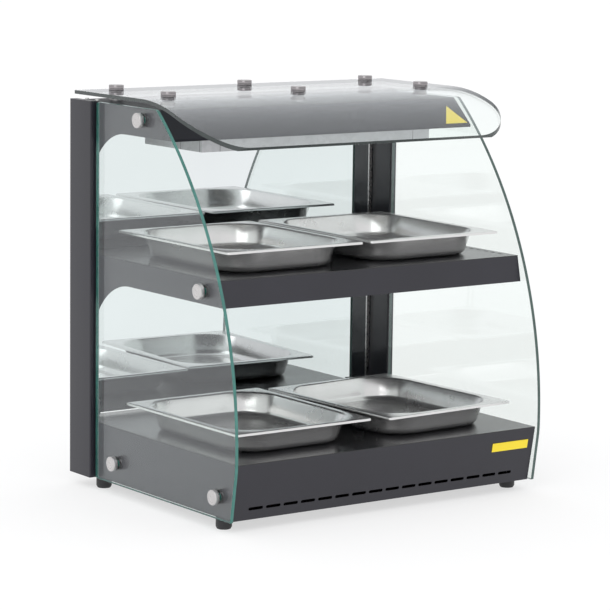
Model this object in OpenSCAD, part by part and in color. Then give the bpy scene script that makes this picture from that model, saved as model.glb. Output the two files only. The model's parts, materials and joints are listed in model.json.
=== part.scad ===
// Two-tier heated display case for a counter top, with an open front and a mirrored rear door.
// X runs to the right, Y to the back and Z up. The origin is on the counter, under the middle.

/* [Body] */
// Width of the steel base, shelf and canopy
body_w = 600; // [580:10:620]
// Height of the two rear posts above the counter
post_top = 649; // [645:1:655]
// Height of the deck of the base above the counter
deck_z = 112; // [108:1:116]
// Height of the top face of the shelf above the counter
shelf_z = 395; // [385:1:405]
// Thickness of the folded steel sheet
sheet_t = 1.5; // [1.2:0.1:2]
// Height of the feet
foot_h = 18; // [16:1:20]

/* [Glass] */
// Thickness of every clear pane
glass_t = 6; // [5:0.5:6]
// Gap between the steel and a side glass
glass_gap = 3; // [3:0.5:4]
// Radius of the curved front edge of a side glass
front_edge_r = 700; // [690:5:720]
// Radius of the bend of the top glass, on its outer face
top_bend_r = 300; // [290:5:310]
// Radius of the front corners of the top glass, seen from above
top_corner_r = 88; // [70:2:100]
// Diameter of the standoff caps
cap_d = 25; // [22:1:28]

/* [Pans] */
// Long side of a half size gastronorm pan, at its rim
pan_l = 325; // [320:1:325]
// Short side of the pan, at its rim
pan_w = 265; // [260:1:265]
// Height of the pan
pan_h = 40; // [30:5:45]

/* [Rear] */
// Thickness of the mirrored door pane
door_t = 5; // [4:0.5:6]
// Diameter of the thermostat knob
knob_d = 40; // [34:1:44]
// Nominal shaft diameter of the knob and the door pins, before the running clearance
shaft_d = 8; // [6:1:8]

/* [Hidden] */
$fn = 64;
eps = 0.01;
running = 0.05;

// Side view of the case, in (Y, Z)
front_y = -255;
rear_y = 229;
half_w = body_w / 2;
inner_half_w = half_w - sheet_t;
bottom_z = foot_h + 1;

// Posts
post_t = 14;
post_y = 163;
post_x = half_w + glass_gap;
post_wall = 1.5;
post_edge_r = 2;

// Base
base_front_top_y = -253;
base_front_bottom_y = -236;
vent_count = 16;
vent_pitch = 33.7;
vent_mid_x = -5.5;
vent_l = 28;
vent_h = 5;
vent_z = 37;

// Shelf
shelf_h = 43;
shelf_front_top_y = -197;
shelf_front_bottom_y = -206;
shelf_rear_y = 208;
shelf_arch_y = 68;
shelf_arch_r = 118;
shelf_gusset_z = 300;
shelf_slot_count = 17;
shelf_slot_pitch = 19;
shelf_slot_l = 12;
shelf_slot_w = 3.5;
shelf_slot_inset = 13;

// Canopy
canopy_top_z = 647;
canopy_bottom_z = 600;
canopy_slope_top_y = -17;
canopy_slope_bottom_y = -64;
canopy_arch_y = 85;
canopy_arch_r = 105;
canopy_gusset_z = 552;

// Lamp housing under the canopy
lamp_half_w = 231;
lamp_front_y = -38;
lamp_rear_y = 132;
lamp_bottom_z = 578;
lamp_wall = 1.2;
lamp_tube_y = [5, 90];
lamp_tube_z = 588;
lamp_tube_d = 10;
lamp_tube_half_l = 190;

// Side glass outline
side_bottom_z = 19;
side_top_z = 648;
side_rear_y = 158;
side_bottom_y = -241.5;
front_edge_z = 127;
side_corner_r = 12;
small_corner_r = 5;
blend_r = 160;

// Top glass
top_rear_y = 212;
top_glass_z = canopy_top_z + 11;
top_half_w = 318;
top_front_y = -179;
top_bend_y = 9;

// Standoffs: places in (Y, Z) on the sides, and in (X, Y) on the top
side_standoffs = [[23, 628], [-156, 374], [98, 54], [-203, 54]];
top_standoffs = [for (y = [22, 180]) for (x = [-257, 0, 257]) [x, y]];
stud_d = 8;
gasket_t = 1;
side_cap_h = 8;
top_cap_h = 9;
top_core_d = 18;
cap_bevel = 0.8;

// Door, hung on two pins at the left
door_y = 216;
door_half_w = 297;
door_bottom_z = 116;
door_top_z = 596;
door_pivot = [-288, door_y + door_t / 2];
shoe_l = 30;
shoe_w = 14;
shoe_h = 25;
bush_d = 14;
bush_flange_d = 20;
bush_flange_t = 1.2;
handle_x = 268;
handle_z = 356;
handle_l = 120;
handle_y = 255;

// Feet, in (X, Y)
foot_d = 26;
foot_places = [for (x = [-289, 289]) for (y = [-196, 163]) [x, y]];

// Heating elements
element_d = 8;
element_pitch = 60;
element_runs = 6;
element_half_l = 230;

// Panel screws: in (X, Y) on the canopy and in (X, Z) on the rear panels
screw_d = 4;
canopy_screw_places = [for (x = [-half_w + 12, half_w - 12]) for (y = [190, 222]) [x, y]];
rear_screw_places = [for (x = [-285, 285]) for (z = [30, 100, 610, 638]) [x, z]];

// Controls on the rear panel, in X
controls_z = 66;
knob_x = 210;
power_switch_x = 130;
light_switch_x = 95;
indicator_x = 165;
inlet_x = -210;
rocker_l = 20;
rocker_w = 12;
rocker_tilt = 8;
rocker_pin_d = 3;
rocker_pivot_y = rear_y - 4;
rocker_face_y = 5.5;

// Pans: X of the left edge, Y of the front edge, turn about the front left corner
pan_lift = 0.2;
pan_rim_w = 12;
pan_wall = 0.8;
pan_taper = 9;
pan_bowl_r = 66;
upper_left_pan = [-273, -177, 0];
upper_right_pan = [8, -177, 0];
lower_left_pan = [-280, -216, 0];
lower_right_pan = [12, -230, 3];

steel_black = [0.16, 0.16, 0.18];
steel_bright = [0.78, 0.78, 0.79];
galvanised = [0.72, 0.72, 0.71];
glass_green = [0.6, 0.82, 0.76, 0.35];
plastic_black = [0.08, 0.08, 0.09];

// ---- Helpers ----

function arc(centre, r, from, to, steps) =
    [for (i = [0:steps]) let (a = from + (to - from) * i / steps) centre + r * [cos(a), sin(a)]];

// Horizontal setback that keeps a sheet of thickness t behind a slope from a to b
function setback(a, b, t) = t * norm(b - a) / abs(b[1] - a[1]);

// Extrudes an outline in (Y, Z) from one X to another
module across(x0, x1) {
    translate([x0, 0, 0]) rotate([90, 0, 90]) linear_extrude(x1 - x0) children();
}

// Box between two corners
module box(a, b) {
    translate(a) cube(b - a);
}

// Round bars along each axis, starting at p
module bar_x(p, l, d) {
    translate(p) rotate([0, 90, 0]) cylinder(d = d, h = l);
}

module bar_y(p, l, d) {
    translate(p) rotate([-90, 0, 0]) cylinder(d = d, h = l);
}

module bar_z(p, l, d) {
    translate(p) cylinder(d = d, h = l);
}

// Slot with round ends along X, cut through a wall that faces Y
module slot_x(centre, l, h, depth) {
    for (s = [-1, 1])
        bar_y(centre + [s * (l - h) / 2, -depth / 2, 0], depth, h);
    translate(centre) cube([l - h, depth, h], center = true);
}

// Plate with rounded corners, in (X, Y), between two heights
module rounded_plate(a, b, r, z0, z1) {
    box([a[0] + r, a[1], z0], [b[0] - r, b[1], z1]);
    box([a[0], a[1] + r, z0], [b[0], b[1] - r, z1]);
    for (x = [a[0] + r, b[0] - r])
        for (y = [a[1] + r, b[1] - r])
            bar_z([x, y, z0], z1 - z0, 2 * r);
}

// Rod that follows a list of points, with a ball at each bend
module rod(points, d) {
    for (i = [0:len(points) - 2]) {
        run = points[i + 1] - points[i];
        flat = norm([run[0], run[1]]);
        translate(points[i])
            rotate([0, atan2(flat, run[2]), atan2(run[1], run[0])])
                cylinder(d = d, h = norm(run));
    }
    for (i = [1:1:len(points) - 2])
        translate(points[i]) sphere(d = d);
}

// Holes for the rear panel screws
module rear_screw_holes() {
    for (p = rear_screw_places)
        bar_y([p[0], rear_y - 5, p[1]], 10, screw_d + 0.4);
}

// ---- Base ----

base_outline = [
    [base_front_bottom_y, bottom_z], [base_front_top_y, deck_z - sheet_t],
    [rear_y, deck_z - sheet_t], [rear_y, bottom_z]
];
base_step = setback(base_outline[0], base_outline[1], sheet_t);
base_inner_outline = [
    [base_front_bottom_y + base_step, bottom_z - eps],
    [base_front_top_y + base_step, deck_z],
    [rear_y + eps, deck_z], [rear_y + eps, bottom_z - eps]
];

// Bolt places of the base, the shelf and the canopy on the posts, in (Y, Z)
base_bolts = [[185, 44], [208, 89]];
shelf_bolts = [[180, 372], [194, 372]];
canopy_bolts = [[180, 614], [208, 614]];

// Holes along X through whatever stands near one X, at places in (Y, Z)
module side_holes(places, x, d) {
    for (p = places)
        bar_x([x - 10, p[0], p[1]], 20, d);
}

module base_shell() {
    color(steel_black)
    difference() {
        across(-half_w, half_w) polygon(base_outline);
        across(-inner_half_w, inner_half_w) polygon(base_inner_outline);
        for (i = [0:vent_count - 1])
            slot_x([vent_mid_x + (i - (vent_count - 1) / 2) * vent_pitch, base_front_bottom_y - 2, vent_z],
                   vent_l, vent_h, 14);
        for (x = [-half_w, half_w]) {
            side_holes(base_bolts, x, 6.5);
            side_holes([side_standoffs[2], side_standoffs[3]], x, stud_d + 0.5);
        }
    }
}

module base_deck() {
    color(steel_black)
    difference() {
        box([-half_w, base_front_top_y, deck_z - sheet_t], [half_w, rear_y, deck_z]);
        bar_z([door_pivot[0], door_pivot[1], deck_z - 5], 10, bush_d + 0.2);
    }
}

module base_bottom_plate() {
    clear = sheet_t + 0.5;
    color(steel_black)
    difference() {
        box([-half_w + clear, base_front_bottom_y + 4, bottom_z], [half_w - clear, rear_y - clear,
            bottom_z + sheet_t]);
        for (x = [-120:40:120])
            for (y = [-140, -100, 60, 100])
                translate([x, y, bottom_z]) cube([24, 5, 10], center = true);
        for (p = foot_places)
            bar_z([p[0], p[1], 0], 40, 5.2);
    }
}

module base_rear_panel() {
    color(steel_black)
    difference() {
        box([-inner_half_w + 0.5, rear_y - sheet_t, bottom_z + 0.2],
            [inner_half_w - 0.5, rear_y, deck_z - sheet_t - 0.2]);
        bar_y([knob_x, rear_y - 5, controls_z], 10, 11);
        bar_y([indicator_x, rear_y - 5, controls_z], 10, 10.2);
        for (x = [power_switch_x, light_switch_x])
            translate([x, rear_y, controls_z]) cube([17, 10, 25], center = true);
        translate([inlet_x, rear_y, controls_z]) cube([28, 10, 21], center = true);
        for (i = [0:9])
            slot_x([(i - 4.5) * 18 - 60, rear_y, controls_z], 12, 4, 10);
        rear_screw_holes();
    }
}

// Serpentine tube: straight runs along X, joined by half turns
module serpentine(x, y0, z, runs, pitch) {
    for (i = [0:runs - 1])
        bar_x([-x, y0 + i * pitch, z], 2 * x, element_d);
    for (i = [0:runs - 2]) {
        side = i % 2 == 0 ? 1 : -1;
        translate([side * x, y0 + (i + 0.5) * pitch, z])
            rotate([0, 0, side > 0 ? -90 : 90])
                rotate_extrude(angle = 180) translate([pitch / 2, 0]) circle(d = element_d);
    }
}

module deck_heater() {
    color([0.35, 0.3, 0.28])
    serpentine(element_half_l, -200, deck_z - 12, element_runs, element_pitch);
}

module element_clips() {
    color(steel_bright)
    for (x = [-150, 150])
        for (i = [0:element_runs - 1])
            difference() {
                translate([x, -200 + i * element_pitch, deck_z - 11]) cube([12, 14, 18], center = true);
                bar_x([x - 10, -200 + i * element_pitch, deck_z - 12], 20, element_d + 0.2);
                translate([x, -200 + i * element_pitch, deck_z]) cube([20, 20, 2 * sheet_t + 0.4],
                    center = true);
            }
}

module heat_shield() {
    color(galvanised)
    box([-270, -225, deck_z - 26], [270, 150, deck_z - 25]);
}

// ---- Shelf ----

shelf_outline = concat(
    [[shelf_rear_y, shelf_z - sheet_t], [shelf_front_top_y, shelf_z - sheet_t],
     [shelf_front_bottom_y, shelf_z - shelf_h]],
    arch_points(shelf_arch_y, shelf_z - shelf_h, shelf_arch_r, shelf_gusset_z),
    [[shelf_rear_y, shelf_gusset_z]]
);
shelf_box_outline = [
    [shelf_rear_y, shelf_z - sheet_t], [shelf_front_top_y, shelf_z - sheet_t],
    [shelf_front_bottom_y, shelf_z - shelf_h], [shelf_rear_y, shelf_z - shelf_h]
];
shelf_step = setback(shelf_outline[1], shelf_outline[2], sheet_t);

// Arch that curls down from a level edge at y to a gusset end at the height end_z
function arch_points(y, z, r, end_z) =
    arc([y, z - r], r, 90, asin((end_z - z + r) / r), 24);

module shelf_shell() {
    color(steel_black)
    difference() {
        across(-half_w, half_w) polygon(shelf_outline);
        across(-inner_half_w, inner_half_w) polygon([
            [shelf_front_top_y + shelf_step, shelf_z],
            [shelf_front_bottom_y + shelf_step, shelf_z - shelf_h - eps],
            [shelf_front_bottom_y + shelf_step, shelf_gusset_z - 1],
            [shelf_rear_y - sheet_t, shelf_gusset_z - 1],
            [shelf_rear_y - sheet_t, shelf_z - shelf_h],
            [shelf_rear_y - sheet_t, shelf_z]
        ]);
        box([-inner_half_w, shelf_rear_y - 10, shelf_gusset_z - 1],
            [inner_half_w, shelf_rear_y + 1, shelf_z - shelf_h]);
        for (x = [-half_w, half_w]) {
            side_holes(shelf_bolts, x, 6.5);
            side_holes([side_standoffs[1]], x, stud_d + 0.5);
        }
    }
}

module shelf_top() {
    first = -(shelf_slot_count - 1) / 2 * shelf_slot_pitch - 14;
    color(steel_black)
    difference() {
        box([-half_w, shelf_front_top_y, shelf_z - sheet_t], [half_w, shelf_rear_y, shelf_z]);
        for (s = [-1, 1])
            for (i = [0:shelf_slot_count - 1])
                rounded_plate([s * (half_w - shelf_slot_inset) - shelf_slot_w / 2,
                               first + i * shelf_slot_pitch - shelf_slot_l / 2],
                              [s * (half_w - shelf_slot_inset) + shelf_slot_w / 2,
                               first + i * shelf_slot_pitch + shelf_slot_l / 2],
                              shelf_slot_w / 2 - eps, shelf_z - 5, shelf_z + 5);
    }
}

module shelf_bottom_cover() {
    color(steel_black)
    box([-inner_half_w + 0.5, shelf_front_bottom_y + 4, shelf_z - shelf_h],
        [inner_half_w - 0.5, shelf_rear_y - sheet_t - 0.5, shelf_z - shelf_h + sheet_t]);
}

module shelf_heater() {
    color([0.35, 0.3, 0.28])
    serpentine(element_half_l, -160, shelf_z - 12, element_runs - 1, element_pitch);
}

// ---- Posts ----

module post(side) {
    x0 = side > 0 ? post_x : -post_x - post_t;
    pad_x = side > 0 ? half_w : -half_w - glass_gap;
    places = concat(base_bolts, shelf_bolts, canopy_bolts);
    color(steel_black)
    difference() {
        union() {
            rounded_plate([x0, post_y], [x0 + post_t, rear_y], post_edge_r, bottom_z, post_top);
            box([pad_x, 172, 29], [pad_x + glass_gap, 220, 104]);
            box([pad_x, 172, shelf_gusset_z + 30], [pad_x + glass_gap, 200, shelf_z - 4]);
            box([pad_x, 172, canopy_bottom_z + 4], [pad_x + glass_gap, 220, canopy_top_z - 4]);
        }
        box([x0 + post_wall, post_y + post_wall, bottom_z + post_wall],
            [x0 + post_t - post_wall, rear_y - post_wall, post_top - post_wall]);
        for (p = places)
            bar_x([side > 0 ? half_w - 1 : -post_x - post_wall - 1, p[0], p[1]],
                  glass_gap + post_wall + 2, 6.5);
    }
}

module left_post() {
    post(-1);
}

module right_post() {
    post(1);
}

// Button head bolt along X, its head on the inner face of the steel box
module frame_bolt(side, p) {
    shank = sheet_t + glass_gap + post_wall + 4;
    bar_x([side > 0 ? inner_half_w - 3 : -inner_half_w, p[0], p[1]], 3, 10.5);
    bar_x([side > 0 ? inner_half_w - eps : -inner_half_w - shank, p[0], p[1]], shank + eps, 6);
}

// Driven from inside the steel boxes into the posts
module frame_bolts() {
    color(steel_bright)
    for (p = concat(base_bolts, shelf_bolts, canopy_bolts))
        for (s = [-1, 1])
            frame_bolt(s, p);
}

// ---- Canopy ----

slope_a = [canopy_slope_top_y, canopy_top_z];
slope_b = [canopy_slope_bottom_y, canopy_bottom_z + 4];
slope_step = setback(slope_a, slope_b, sheet_t);
slope_run = (slope_a[0] - slope_b[0]) / (slope_a[1] - slope_b[1]);

canopy_plate_outline = concat(
    [[rear_y, canopy_top_z - sheet_t],
     [slope_a[0] + slope_step - slope_run * sheet_t, canopy_top_z - sheet_t],
     [slope_b[0] + slope_step, slope_b[1]],
     [slope_b[0] + slope_step, canopy_bottom_z]],
    arch_points(canopy_arch_y, canopy_bottom_z, canopy_arch_r, canopy_gusset_z),
    [[shelf_rear_y, canopy_gusset_z], [shelf_rear_y, canopy_bottom_z], [rear_y, canopy_bottom_z]]
);

module canopy_top() {
    color(steel_black)
    difference() {
        across(-half_w, half_w) polygon([
            [rear_y, canopy_top_z], slope_a, slope_b, [slope_b[0], canopy_bottom_z],
            [slope_b[0] + slope_step, canopy_bottom_z], slope_b + [slope_step, 0],
            [slope_a[0] + slope_step - slope_run * sheet_t, canopy_top_z - sheet_t],
            [rear_y, canopy_top_z - sheet_t]
        ]);
        for (p = top_standoffs)
            bar_z([p[0], p[1], canopy_top_z - 5], 10, stud_d + 0.5);
        for (p = canopy_screw_places)
            bar_z([p[0], p[1], canopy_top_z - 5], 10, screw_d + 0.4);
    }
}

module canopy_plate(side) {
    color(steel_black)
    difference() {
        across(side > 0 ? inner_half_w : -half_w, side > 0 ? half_w : -inner_half_w)
            polygon(canopy_plate_outline);
        side_holes(canopy_bolts, side * half_w, 6.5);
        side_holes([side_standoffs[0]], side * half_w, stud_d + 0.5);
    }
}

module canopy_left_plate() {
    canopy_plate(-1);
}

module canopy_right_plate() {
    canopy_plate(1);
}

module canopy_floor() {
    clear = 0.3;
    color(galvanised)
    difference() {
        box([-inner_half_w + clear, slope_b[0] + slope_step + clear, canopy_bottom_z],
            [inner_half_w - clear, rear_y - sheet_t - clear, canopy_bottom_z + sheet_t]);
        bar_z([door_pivot[0], door_pivot[1], canopy_bottom_z - 5], 10, bush_d + 0.2);
    }
}

module canopy_rear_panel() {
    color(steel_black)
    difference() {
        box([-inner_half_w + 0.3, rear_y - sheet_t, canopy_bottom_z],
            [inner_half_w - 0.3, rear_y, canopy_top_z - sheet_t - 0.2]);
        rear_screw_holes();
    }
}

// Pan head screw whose head stands on the origin and points along +Z
module panel_screw() {
    cylinder(d1 = 8, d2 = 6.5, h = 2.4, $fn = 48);
    translate([0, 0, -7]) cylinder(d = screw_d, h = 7 + eps);
}

module panel_screws() {
    color(steel_bright) {
        for (p = canopy_screw_places)
            translate([p[0], p[1], canopy_top_z]) panel_screw();
        for (p = rear_screw_places)
            translate([p[0], rear_y, p[1]]) rotate([-90, 0, 0]) panel_screw();
    }
}

// ---- Lamps ----

module lamp_housing() {
    floor_z = canopy_bottom_z;
    color(galvanised)
    difference() {
        box([-lamp_half_w, lamp_front_y, lamp_bottom_z], [lamp_half_w, lamp_rear_y, floor_z]);
        box([-lamp_half_w + lamp_wall, lamp_front_y + lamp_wall, lamp_bottom_z - 1],
            [lamp_half_w - lamp_wall, lamp_rear_y - lamp_wall, floor_z - lamp_wall]);
    }
}

module lamp_reflector() {
    color([0.9, 0.9, 0.9])
    box([-lamp_half_w + 6, lamp_front_y + 6, canopy_bottom_z - 4],
        [lamp_half_w - 6, lamp_rear_y - 6, canopy_bottom_z - 3]);
}

module heat_lamps() {
    color([0.95, 0.85, 0.7, 0.6])
    for (y = lamp_tube_y)
        bar_x([-lamp_tube_half_l, y, lamp_tube_z], 2 * lamp_tube_half_l, lamp_tube_d);
}

module lamp_holders() {
    color([0.93, 0.92, 0.88])
    for (y = lamp_tube_y)
        for (s = [-1, 1])
            difference() {
                translate([s * (lamp_tube_half_l + 2), y, lamp_tube_z + 0.5])
                    cube([22, 18, 15], center = true);
                bar_x([s > 0 ? 0 : -lamp_tube_half_l - 1, y, lamp_tube_z],
                      lamp_tube_half_l + 1, lamp_tube_d + 0.2);
            }
}

// Wires along X, crossed by a few wires along Y
module lamp_guard() {
    wire_d = 2;
    guard_half = lamp_half_w - lamp_wall;
    wire_z = lamp_bottom_z + wire_d / 2;
    color(steel_bright) {
        for (y = [lamp_front_y + 8:12:lamp_rear_y - 8])
            bar_x([-guard_half, y, wire_z], 2 * guard_half, wire_d);
        for (x = [-guard_half + 1, -130, 0, 130, guard_half - 1])
            bar_y([x, lamp_front_y + 5, wire_z], lamp_rear_y - lamp_front_y - 10, wire_d);
    }
}

// ---- Glass ----

// Front edge of a side glass: a short leaning line, a blend, the long arc and a small corner
function edge_centre() = [front_y + front_edge_r, front_edge_z];
function corner_centre() =
    let (z = side_top_z - side_corner_r, c = edge_centre())
    [c[0] - sqrt(pow(front_edge_r - side_corner_r, 2) - pow(z - c[1], 2)), z];

module side_glass_outline() {
    c = edge_centre();
    k = corner_centre();
    corner_angle = atan2(k[1] - c[1], k[0] - c[0]);
    blend_top = 181;
    blend_bottom = 188.5;
    b = c + (front_edge_r - blend_r) * [cos(blend_top), sin(blend_top)];
    polygon(concat(
        arc([side_rear_y - small_corner_r, side_bottom_z + small_corner_r], small_corner_r, 0, -90, 6),
        [[b[0] + blend_r * cos(blend_bottom)
          - (side_bottom_z - b[1] - blend_r * sin(blend_bottom)) * tan(blend_bottom),
          side_bottom_z]],
        arc(b, blend_r, blend_bottom, blend_top, 5),
        arc(c, front_edge_r, blend_top, corner_angle, 64),
        arc(k, side_corner_r, corner_angle, 90, 8),
        arc([side_rear_y - small_corner_r, side_top_z - small_corner_r], small_corner_r, 90, 0, 6)
    ));
}

module side_glass(side) {
    x = side > 0 ? half_w + glass_gap : -half_w - glass_gap - glass_t;
    color(glass_green)
    difference() {
        across(x, x + glass_t) side_glass_outline();
        side_holes(side_standoffs, x, stud_d + 4);
    }
}

module left_glass() {
    side_glass(-1);
}

module right_glass() {
    side_glass(1);
}

// Flat at the rear, bent down over the front, with rounded front corners
module top_glass() {
    centre_z = top_glass_z + glass_t - top_bend_r;
    edge_angle = asin((top_bend_y - top_front_y) / top_bend_r);
    reach = 2 * top_bend_r;
    color(glass_green)
    difference() {
        intersection() {
            union() {
                box([-top_half_w, top_bend_y, top_glass_z], [top_half_w, top_rear_y, top_glass_z + glass_t]);
                intersection() {
                    difference() {
                        bar_x([-top_half_w, top_bend_y, centre_z], 2 * top_half_w, 2 * top_bend_r);
                        bar_x([-top_half_w - 1, top_bend_y, centre_z], 2 * top_half_w + 2,
                              2 * (top_bend_r - glass_t));
                    }
                    across(-top_half_w - 1, top_half_w + 1) polygon([
                        [top_bend_y, centre_z],
                        [top_bend_y - reach * sin(edge_angle), centre_z + reach * cos(edge_angle)],
                        [top_bend_y, centre_z + reach]
                    ]);
                }
            }
            rounded_front_plan();
        }
        for (p = top_standoffs)
            bar_z([p[0], p[1], top_glass_z - 5], glass_t + 10, top_core_d + 1);
    }
}

// Plan of the top glass: wide at the back, with the front corners rounded
module rounded_front_plan() {
    z0 = canopy_bottom_z - 60;
    z1 = top_glass_z + 20;
    box([-top_half_w, top_front_y + top_corner_r, z0], [top_half_w, top_rear_y, z1]);
    box([-top_half_w + top_corner_r, top_front_y, z0],
        [top_half_w - top_corner_r, top_front_y + top_corner_r + 1, z1]);
    for (s = [-1, 1])
        bar_z([s * (top_half_w - top_corner_r), top_front_y + top_corner_r, z0], z1 - z0,
              2 * top_corner_r);
}

// ---- Standoffs ----

// Turns a stack that is built up along +Z so that it points outwards from one side
module outwards(side, p) {
    translate([side * (half_w + glass_gap + glass_t), p[0], p[1]]) rotate([0, side * 90, 0]) children();
}

module every_side_standoff() {
    for (side = [-1, 1])
        for (p = side_standoffs)
            outwards(side, p) children();
}

module every_top_standoff() {
    for (p = top_standoffs)
        translate([p[0], p[1], top_glass_z + glass_t]) children();
}

// Turned cap that stands on a seat, with a bevelled rim and a blind hole for its stud
module cap(h, seat) {
    difference() {
        rotate_extrude() polygon([
            [0, seat], [cap_d / 2, seat], [cap_d / 2, h + seat - cap_bevel],
            [cap_d / 2 - cap_bevel, h + seat], [0, h + seat]
        ]);
        translate([0, 0, -1]) cylinder(d = stud_d, h = h + seat - 1.5);
    }
}

module ring(d, bore, z0, z1) {
    translate([0, 0, z0])
    difference() {
        cylinder(d = d, h = z1 - z0);
        translate([0, 0, -1]) cylinder(d = bore, h = z1 - z0 + 2);
    }
}

module stud(z0, z1, nut_z) {
    translate([0, 0, z0]) cylinder(d = stud_d, h = z1 - z0);
    translate([0, 0, nut_z]) rotate([0, 0, 30]) cylinder(d = 14, h = 5, $fn = 6);
}

module side_glass_caps() {
    color(steel_bright) every_side_standoff() cap(side_cap_h, gasket_t);
}

module side_glass_spacers() {
    color(steel_bright)
    every_side_standoff() ring(20, stud_d + 0.4, -glass_t - glass_gap, -glass_t - gasket_t);
}

module side_glass_gaskets() {
    color(plastic_black)
    every_side_standoff() {
        ring(21, stud_d + 0.4, -glass_t - gasket_t, -glass_t);
        ring(22, stud_d + 0.4, 0, gasket_t);
    }
}

module side_glass_studs() {
    inside = -glass_t - glass_gap - sheet_t;
    color(steel_bright)
    every_side_standoff() stud(inside - 8, side_cap_h - 2, inside - 5);
}

module top_glass_caps() {
    color(steel_bright) every_top_standoff() cap(top_cap_h, 0);
}

// Shouldered spacers: a wide foot under the glass and a core through its hole
module top_glass_spacers() {
    color(steel_bright)
    every_top_standoff() {
        ring(cap_d - 2, stud_d + 0.4, canopy_top_z - top_glass_z - glass_t, -glass_t - gasket_t);
        ring(top_core_d, stud_d + 0.4, -glass_t - gasket_t - eps, -0.2);
    }
}

module top_glass_gaskets() {
    color(plastic_black)
    every_top_standoff() ring(cap_d - 2, top_core_d + 0.4, -glass_t - gasket_t, -glass_t);
}

module top_glass_studs() {
    inside = canopy_top_z - top_glass_z - glass_t - sheet_t;
    color(steel_bright)
    every_top_standoff() stud(inside - 8, top_cap_h - 3, inside - 5);
}

// ---- Feet and trim ----

module feet() {
    color(plastic_black)
    for (p = foot_places)
        translate([p[0], p[1], 0])
            difference() {
                rotate_extrude() polygon([
                    [0, 0], [foot_d / 2 - 2, 0], [foot_d / 2, 4], [foot_d / 2, bottom_z],
                    [0, bottom_z]
                ]);
                translate([0, 0, -1]) cylinder(d = 10, h = 6);
                cylinder(d = 5.2, h = 40);
            }
}

module foot_screws() {
    color(steel_bright)
    for (p = foot_places)
        translate([p[0], p[1], 0]) {
            translate([0, 0, 5 - 3]) cylinder(d = 9, h = 3);
            translate([0, 0, 5 - eps]) cylinder(d = 5, h = bottom_z + 6);
        }
}

// Blank plate on the leaning front of the base
module front_plate() {
    lean = atan2(base_front_bottom_y - base_front_top_y, deck_z - sheet_t - bottom_z);
    color([0.88, 0.78, 0.12])
    translate([250, base_front_top_y, deck_z - sheet_t]) rotate([lean, 0, 0])
        translate([0, -0.55, -27]) cube([76, 1, 15], center = true);
}

// Blank triangle on the sloped front of the canopy
module plain_triangle() {
    slope_angle = atan2(slope_a[1] - slope_b[1], slope_a[0] - slope_b[0]);
    color([0.95, 0.8, 0.1])
    translate([272, slope_b[0], slope_b[1]]) rotate([slope_angle, 0, 0])
        translate([0, 4, 0.05]) linear_extrude(0.8) polygon([[-23, 0], [23, 0], [0, 40]]);
}

// ---- Electrical parts ----

module thermostat_body() {
    color([0.85, 0.85, 0.82])
    difference() {
        union() {
            translate([knob_x, rear_y - 18, controls_z]) cube([44, 24, 34], center = true);
            bar_y([knob_x, rear_y - 6.5, controls_z], 9, 10.8);
        }
        bar_y([knob_x, rear_y - 26, controls_z], 60, shaft_d - 2 + 2 * running);
    }
}

module thermostat_bulb() {
    start = [knob_x, rear_y - 30, controls_z];
    corner = [knob_x, 60, controls_z];
    bulb = [knob_x - 60, 60, deck_z - 30];
    color([0.75, 0.5, 0.35]) {
        rod([start, corner, bulb], 2.4);
        bar_x(bulb - [60, 0, 0], 62, 6);
    }
}

module switch_housing(x) {
    difference() {
        union() {
            translate([x, rear_y + 1, controls_z]) cube([21, 2, 29], center = true);
            translate([x, rear_y - 9, controls_z]) cube([16.6, 22, 24.6], center = true);
        }
        translate([x, rear_y - 1, controls_z]) cube([rocker_w + 0.6, 16, rocker_l + 2], center = true);
        bar_x([x - rocker_w / 2 - 1.4, rocker_pivot_y, controls_z], rocker_w + 2.8,
              rocker_pin_d + 2 * running);
    }
    for (s = [-1, 1])
        translate([x + s * 4, rear_y - 24, controls_z]) cube([0.8, 9, 6], center = true);
}

module switch_housings() {
    color(plastic_black) {
        switch_housing(power_switch_x);
        switch_housing(light_switch_x);
    }
}

module indicator_lamp() {
    color([0.9, 0.35, 0.1])
    union() {
        bar_y([indicator_x, rear_y - 20, controls_z], 20 + eps, 10);
        bar_y([indicator_x, rear_y, controls_z], 3, 13);
    }
}

module power_inlet() {
    color(plastic_black)
    difference() {
        union() {
            translate([inlet_x, rear_y + 1.25, controls_z]) cube([50, 2.5, 24], center = true);
            translate([inlet_x, rear_y - 10, controls_z]) cube([27.6, 22, 20.6], center = true);
        }
        translate([inlet_x, rear_y - 5, controls_z]) cube([24, 20, 17], center = true);
    }
    color([0.8, 0.75, 0.6])
    for (p = [[-7, -5], [0, -2], [7, -5]])
        translate([inlet_x + p[0], rear_y - 14, controls_z + p[1]]) cube([2, 26, 4], center = true);
}

module terminal_block() {
    block = [60, 22, 16];
    place = [-100, 140, bottom_z + sheet_t];
    color([0.92, 0.92, 0.9])
    difference() {
        translate(place) cube(block);
        for (i = [0:5])
            bar_z(place + [5 + i * 10, 6, 8], 10, 4);
    }
}

// Insulated leads from the inlet to the terminal block and on to the controls
module wiring() {
    lead_d = 2.4;
    block_z = bottom_z + sheet_t + 8;
    color([0.75, 0.2, 0.15])
    for (i = [0:2]) {
        from = [inlet_x - 7 + i * 7, 190 - i * 6, block_z + i * 4];
        to = [-66 + i * 10, 172 + i * 6, 54];
        up = [power_switch_x - 30 + i * 8, 172 + i * 6, 54];
        bar_y(from, rear_y - 28 - from[1], lead_d);
        bar_x(from - [lead_d / 2, 0, 0], -96 + i * 10 - from[0] + lead_d, lead_d);
        bar_y([-96 + i * 10, 162.2, from[2]], from[1] - 162.2, lead_d);
        bar_y([to[0], 162.2, block_z], to[1] - 162.2 + lead_d / 2, lead_d);
        bar_z([to[0], to[1], block_z], to[2] - block_z + lead_d / 2, lead_d);
        bar_x(to, up[0] - to[0] + lead_d / 2, lead_d);
        bar_y(up, 190 - up[1], lead_d);
    }
}

// ---- Rear door ----

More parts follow.
